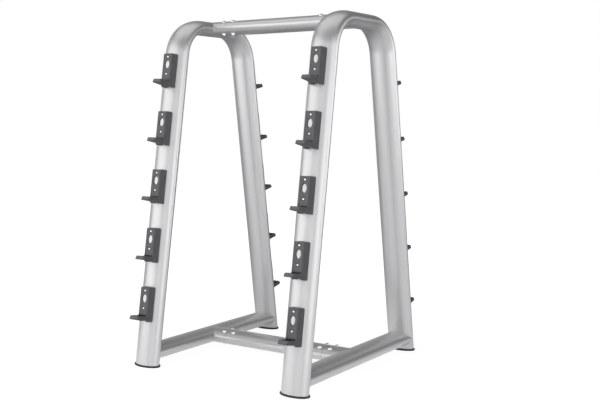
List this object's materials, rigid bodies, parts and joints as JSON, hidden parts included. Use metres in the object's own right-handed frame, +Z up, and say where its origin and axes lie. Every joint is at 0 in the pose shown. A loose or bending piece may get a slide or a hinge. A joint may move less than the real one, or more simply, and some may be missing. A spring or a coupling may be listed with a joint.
{
  "type": "barbell storage rack",
  "caption": "Free-standing double-sided rack for fixed barbells: bent oval-tube hoops joined by bolted crossbars, with moulded plastic saddles up every leg and rubber feet.",
  "frame": {"origin": "on the floor, in the middle of the footprint", "axes": "+Z up, +X from the left hoop to the right one along the barbells, -Y to the front"},
  "size_m": [0.9474, 1.1288, 1.589],
  "materials": {
    "silver_paint": "smooth light silver powder coat",
    "charcoal_plastic": "fine-grained charcoal moulded plastic",
    "black_rubber": "matte black moulded rubber",
    "zinc_steel": "zinc plated",
    "chrome": "bright plated"
  },
  "bodies": {
    "root": {"left_hoop": "silver_paint", "left_low_rail": "silver_paint", "left_front_foot": "black_rubber", "left_front_saddle_1": "charcoal_plastic", "left_front_saddle_2": "charcoal_plastic", "left_front_saddle_3": "charcoal_plastic", "left_front_saddle_4": "charcoal_plastic", "left_front_saddle_5": "charcoal_plastic", "left_rear_foot": "black_rubber", "left_rear_saddle_1": "charcoal_plastic", "left_rear_saddle_2": "charcoal_plastic", "left_rear_saddle_3": "charcoal_plastic", "left_rear_saddle_4": "charcoal_plastic", "left_rear_saddle_5": "charcoal_plastic", "right_hoop": "silver_paint", "right_low_rail": "silver_paint", "right_front_foot": "black_rubber", "right_front_saddle_1": "charcoal_plastic", "right_front_saddle_2": "charcoal_plastic", "right_front_saddle_3": "charcoal_plastic", "right_front_saddle_4": "charcoal_plastic", "right_front_saddle_5": "charcoal_plastic", "right_rear_foot": "black_rubber", "right_rear_saddle_1": "charcoal_plastic", "right_rear_saddle_2": "charcoal_plastic", "right_rear_saddle_3": "charcoal_plastic", "right_rear_saddle_4": "charcoal_plastic", "right_rear_saddle_5": "charcoal_plastic", "upper_crossbar": "silver_paint", "upper_left_stub": "silver_paint", "upper_left_splice_sleeve": "zinc_steel", "upper_left_splice_bolt_1": "chrome", "upper_left_splice_bolt_2": "chrome", "upper_left_splice_bolt_3": "chrome", "upper_left_splice_bolt_4": "chrome", "upper_right_stub": "silver_paint", "upper_right_splice_sleeve": "zinc_steel", "upper_right_splice_bolt_1": "chrome", "upper_right_splice_bolt_2": "chrome", "upper_right_splice_bolt_3": "chrome", "upper_right_splice_bolt_4": "chrome", "lower_crossbar": "silver_paint", "lower_left_stub": "silver_paint", "lower_left_splice_sleeve": "zinc_steel", "lower_left_splice_bolt_1": "chrome", "lower_left_splice_bolt_2": "chrome", "lower_left_splice_bolt_3": "chrome", "lower_left_splice_bolt_4": "chrome", "lower_right_stub": "silver_paint", "lower_right_splice_sleeve": "zinc_steel", "lower_right_splice_bolt_1": "chrome", "lower_right_splice_bolt_2": "chrome", "lower_right_splice_bolt_3": "chrome", "lower_right_splice_bolt_4": "chrome"}
  },
  "joints": []
}
